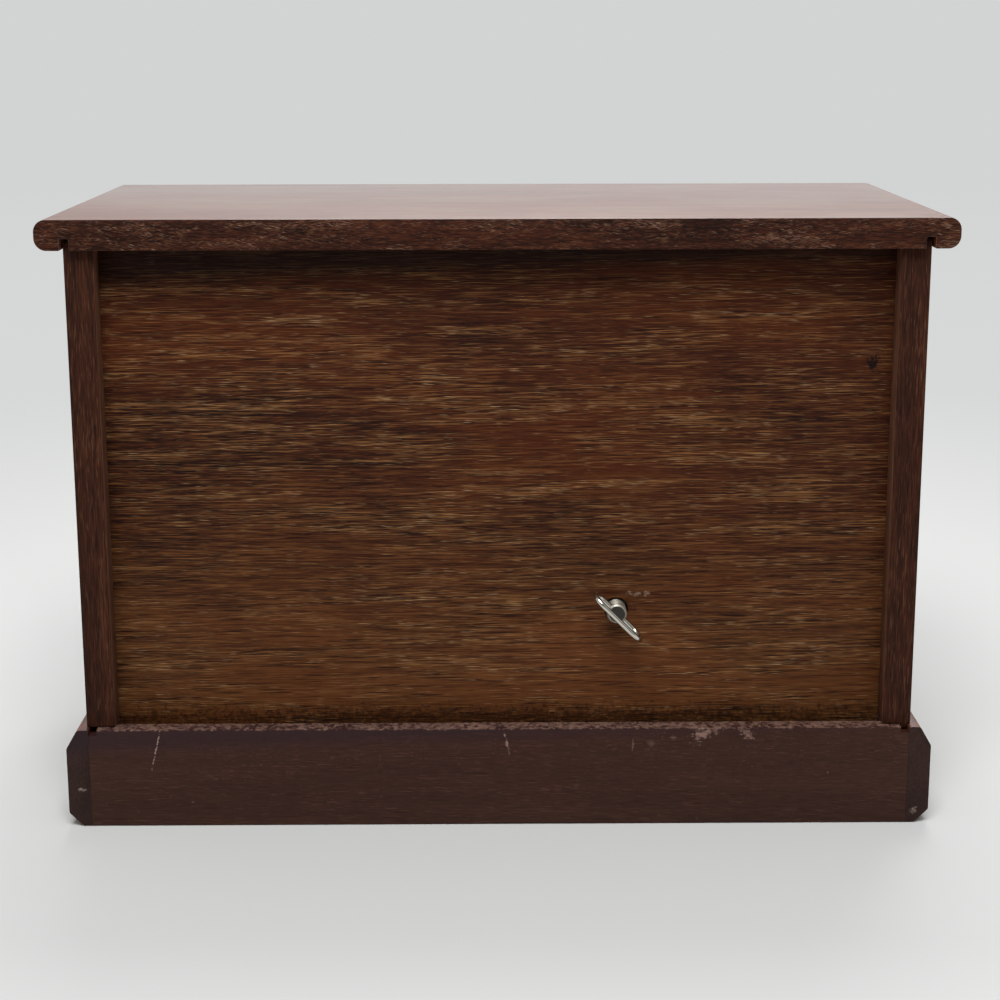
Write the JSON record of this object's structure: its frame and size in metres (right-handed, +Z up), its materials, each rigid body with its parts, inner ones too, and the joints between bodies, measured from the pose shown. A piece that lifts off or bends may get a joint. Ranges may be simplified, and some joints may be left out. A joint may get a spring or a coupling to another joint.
{
  "type": "musical jewelry box",
  "caption": "Mahogany-finished jewelry box with an overhanging top, drawers, a moulded base, and a wind-up musical movement whose key stands out at the back",
  "frame": {"origin": "the middle of the footprint, on the surface that the box stands on", "axes": "+X runs along the front to the right, +Y points to the back with the winding key, +Z is up"},
  "size_m": [0.3184, 0.1706, 0.2207],
  "materials": {
    "mahogany_lacquered": "lacquered, glossy on the top",
    "lauan_plywood": "stained plywood with a thin coat of lacquer",
    "bare_wood": "sanded, unfinished",
    "velvet_lining": "flocked",
    "ring_roll_velvet": "velvet over padding",
    "brass_polished": "turned and polished",
    "steel_screws": "zinc plated",
    "nickel_plate": "bright nickel plate",
    "movement_brass": "machined",
    "zinc_casting": "as cast",
    "moulded_nylon": "moulded",
    "spring_steel": "blank steel"
  },
  "bodies": {
    "case": {"back_panel": "lauan_plywood", "bearer_back": "bare_wood", "bearer_front": "bare_wood", "bearer_left": "bare_wood", "bearer_right": "bare_wood", "bedplate": "zinc_casting", "bedplate_screws": "steel_screws", "bottom_panel": "bare_wood", "comb": "spring_steel", "drawer_stops": "bare_wood", "governor_frame": "spring_steel", "mainspring": "spring_steel", "movement_block": "bare_wood", "movement_screws": "steel_screws", "partition_upper": "mahogany_lacquered", "plinth_back": "mahogany_lacquered", "plinth_front": "mahogany_lacquered", "plinth_left": "mahogany_lacquered", "plinth_right": "mahogany_lacquered", "shelf_lower": "mahogany_lacquered", "shelf_upper": "mahogany_lacquered", "side_panel_left": "mahogany_lacquered", "side_panel_right": "mahogany_lacquered", "spring_bridge": "spring_steel", "spring_cup": "spring_steel", "top_board": "mahogany_lacquered"},
    "drawer_lower": {"drawer_lower_box": "bare_wood", "drawer_lower_front": "mahogany_lacquered", "drawer_lower_knob_screws": "steel_screws", "drawer_lower_knobs": "brass_polished", "drawer_lower_lining": "velvet_lining"},
    "drawer_middle": {"drawer_middle_box": "bare_wood", "drawer_middle_front": "mahogany_lacquered", "drawer_middle_knob_screws": "steel_screws", "drawer_middle_knobs": "brass_polished", "drawer_middle_lining": "velvet_lining"},
    "drawer_upper_left": {"drawer_upper_left_box": "bare_wood", "drawer_upper_left_front": "mahogany_lacquered", "drawer_upper_left_knob_screws": "steel_screws", "drawer_upper_left_knobs": "brass_polished", "drawer_upper_left_lining": "velvet_lining", "ring_rolls": "ring_roll_velvet"},
    "drawer_upper_right": {"drawer_upper_right_box": "bare_wood", "drawer_upper_right_front": "mahogany_lacquered", "drawer_upper_right_knob_screws": "steel_screws", "drawer_upper_right_knobs": "brass_polished", "drawer_upper_right_lining": "velvet_lining"},
    "winding_key": {"winding_arbor": "spring_steel", "drive_wheel": "movement_brass", "key_shank": "nickel_plate", "key_loop": "nickel_plate"},
    "music_cylinder": {"cylinder_axle": "spring_steel", "pin_drum": "movement_brass", "cylinder_pinion": "movement_brass", "cylinder_wheel": "movement_brass"},
    "governor_train": {"governor_wheel": "moulded_nylon"},
    "fan": {"fan_spindle": "spring_steel", "fan_vane": "movement_brass"},
    "stop": {"stop_lever": "spring_steel"}
  },
  "joints": [
    {"name": "lower_drawer_slide", "type": "slide", "parent": "case", "child": "drawer_lower", "axis": [0, -1, 0], "range_m": [0, 0.077]},
    {"name": "middle_drawer_slide", "type": "slide", "parent": "case", "child": "drawer_middle", "axis": [0, -1, 0], "range_m": [0, 0.11]},
    {"name": "upper_left_drawer_slide", "type": "slide", "parent": "case", "child": "drawer_upper_left", "axis": [0, -1, 0], "range_m": [0, 0.11]},
    {"name": "upper_right_drawer_slide", "type": "slide", "parent": "case", "child": "drawer_upper_right", "axis": [0, -1, 0], "range_m": [0, 0.11]},
    {"name": "key_turn", "type": "hinge", "parent": "case", "child": "winding_key", "pos_m": [-0.0427, 0.0581, 0.078], "axis": [0, -1, 0], "continuous": true},
    {"name": "cylinder_turn", "type": "hinge", "parent": "case", "child": "music_cylinder", "pos_m": [-0.0227, 0.0428, 0.078], "axis": [1, 0, 0], "continuous": true},
    {"name": "governor_turn", "type": "hinge", "parent": "case", "child": "governor_train", "pos_m": [-0.0055, 0.04685, 0.0711], "axis": [1, 0, 0], "continuous": true},
    {"name": "fan_turn", "type": "hinge", "parent": "case", "child": "fan", "pos_m": [-0.0055, 0.0481, 0.066], "axis": [0, -1, 0], "continuous": true},
    {"name": "stop_lever_swing", "type": "hinge", "parent": "case", "child": "stop", "pos_m": [0.0008, 0.0481, 0.058], "axis": [1, 0, 0], "range_deg": [0, 8]}
  ],
  "couplings": [
    {"joint": "cylinder_turn", "follows": "key_turn", "ratio": 2.5},
    {"joint": "governor_turn", "follows": "key_turn", "ratio": -7.5},
    {"joint": "fan_turn", "follows": "key_turn", "ratio": -75},
    {"joint": "stop_lever_swing", "follows": "lower_drawer_slide", "rad_per_m": 1.8133}
  ]
}
